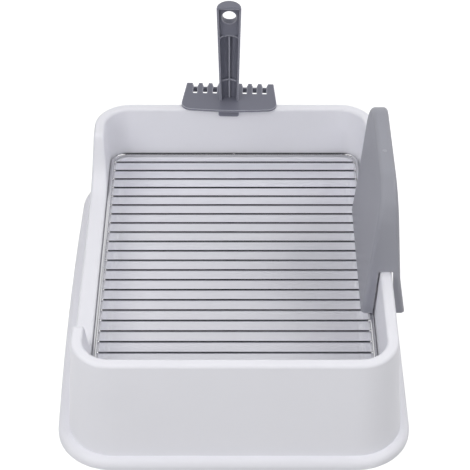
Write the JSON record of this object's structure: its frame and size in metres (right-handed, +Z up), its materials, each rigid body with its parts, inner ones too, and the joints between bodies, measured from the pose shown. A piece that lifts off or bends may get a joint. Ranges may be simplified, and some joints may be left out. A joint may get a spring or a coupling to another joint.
{
  "type": "litter tray",
  "caption": "Small-animal litter tray with a low side entrance, a lift-out wire grate, a splash guard that straddles the opposite wall and a toothed rake parked on the back rim.",
  "frame": {"origin": "on the floor, under the middle of the whole object's outline: the tray with the rake parked on its back rim, so 9.6 mm behind the middle of the tray itself", "axes": "+X across the tray, from the entrance towards the guard; +Y along the tray, from front to back; +Z up"},
  "size_m": [0.3349, 0.4548, 0.2373],
  "materials": {
    "tray_plastic": "satin",
    "plated_wire": "bright plated",
    "guard_plastic": "satin",
    "rake_plastic": "satin"
  },
  "bodies": {
    "tray": {"tray_shell": "tray_plastic"},
    "grate": {"grate_frame": "plated_wire", "cross_rod_01": "plated_wire", "cross_rod_02": "plated_wire", "cross_rod_03": "plated_wire", "cross_rod_04": "plated_wire", "cross_rod_05": "plated_wire", "cross_rod_06": "plated_wire", "cross_rod_07": "plated_wire", "cross_rod_08": "plated_wire", "cross_rod_09": "plated_wire", "cross_rod_10": "plated_wire", "cross_rod_11": "plated_wire", "cross_rod_12": "plated_wire", "cross_rod_13": "plated_wire", "cross_rod_14": "plated_wire", "cross_rod_15": "plated_wire", "cross_rod_16": "plated_wire", "cross_rod_17": "plated_wire", "cross_rod_18": "plated_wire", "cross_rod_19": "plated_wire", "cross_rod_20": "plated_wire", "cross_rod_21": "plated_wire", "cross_rod_22": "plated_wire", "cross_rod_23": "plated_wire", "cross_rod_24": "plated_wire"},
    "guard": {"splash_guard": "guard_plastic"},
    "rake": {"litter_rake": "rake_plastic"}
  },
  "joints": [
    {"name": "grate_lift", "type": "slide", "parent": "tray", "child": "grate", "axis": [0, 0, 1], "range_m": [0, 0.07]},
    {"name": "guard_lift", "type": "slide", "parent": "grate", "child": "guard", "axis": [0, 0, 1], "range_m": [0, 0.06]},
    {"name": "rake_lift", "type": "slide", "parent": "grate", "child": "rake", "axis": [0, 0, 1], "range_m": [0, 0.03]}
  ]
}
